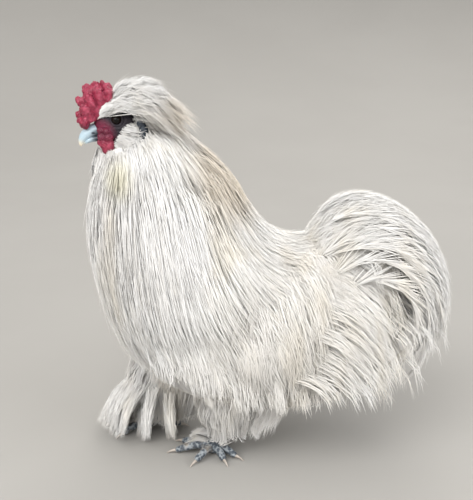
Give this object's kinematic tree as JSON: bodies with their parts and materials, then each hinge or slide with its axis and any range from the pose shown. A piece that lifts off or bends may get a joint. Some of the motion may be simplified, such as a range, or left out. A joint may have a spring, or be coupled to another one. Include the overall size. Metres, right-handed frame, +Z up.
{
  "type": "silkie rooster",
  "caption": "White silkie rooster in mid-step: hair-like plumage, a crest, a lobed mulberry comb, a full drooping tail and feathered feet on blue-grey toes.",
  "frame": {"origin": "floor level, under the middle of the bird's overall length and width", "axes": "+Z up, -X the way the bird faces, +Y towards its right side"},
  "size_m": [0.351, 0.1852, 0.3506],
  "materials": {
    "body_plumage": "matte white down feathers over flesh",
    "loose_plumage": "matte white loose hair-like feathers",
    "bare_face": "dark slate bare skin, slightly wrinkled",
    "comb_flesh": "mulberry red fleshy skin, semi-matte",
    "beak_horn": "pale blue-grey horn, smooth",
    "eye_gloss": "wet black",
    "foot_scales": "blue-grey scales, matte",
    "claw_horn": "pale horn"
  },
  "bodies": {
    "root": {"torso": "loose_plumage", "neck": "body_plumage", "head": "bare_face", "crest": "loose_plumage", "comb": "comb_flesh", "beak_upper": "beak_horn", "beak_lower": "beak_horn", "tail": "loose_plumage", "wattle_left": "comb_flesh", "earlobe_left": "bare_face", "eye_left": "eye_gloss", "wing_left": "loose_plumage", "muff_left": "loose_plumage", "thigh_left": "body_plumage", "shank_left": "foot_scales", "foot_left": "foot_scales", "claw_inner_left": "claw_horn", "claw_middle_left": "claw_horn", "claw_outer_left": "claw_horn", "claw_hind_left": "claw_horn", "claw_fifth_left": "claw_horn", "wattle_right": "comb_flesh", "earlobe_right": "bare_face", "eye_right": "eye_gloss", "wing_right": "loose_plumage", "muff_right": "loose_plumage", "thigh_right": "body_plumage", "shank_right": "foot_scales", "foot_right": "foot_scales", "claw_inner_right": "claw_horn", "claw_middle_right": "claw_horn", "claw_outer_right": "claw_horn", "claw_hind_right": "claw_horn", "claw_fifth_right": "claw_horn"}
  },
  "joints": []
}
